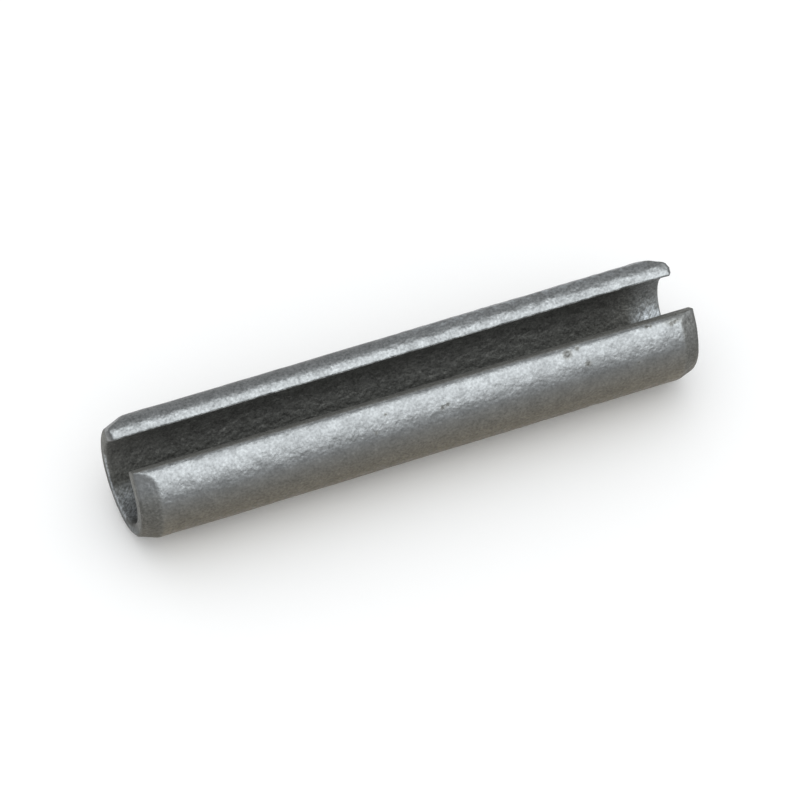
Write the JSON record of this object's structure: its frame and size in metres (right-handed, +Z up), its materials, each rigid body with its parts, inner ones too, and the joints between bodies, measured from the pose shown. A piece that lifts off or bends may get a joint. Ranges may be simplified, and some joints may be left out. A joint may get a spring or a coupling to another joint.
{
  "type": "spring roll pin",
  "caption": "Slotted spring pin: a strip of steel rolled into a C-shaped tube, with a slot along its whole length and tapered, rounded ends.",
  "frame": {"origin": "on the pin's axis, half way along its length", "axes": "+X along the pin, +Z straight up through the middle of the slot, +Y across it"},
  "size_m": [0.05, 0.0104, 0.0094],
  "materials": {
    "spring_steel": "dull tumbled grey, finely stippled"
  },
  "bodies": {
    "root": {"spring_pin": "spring_steel"}
  },
  "joints": []
}
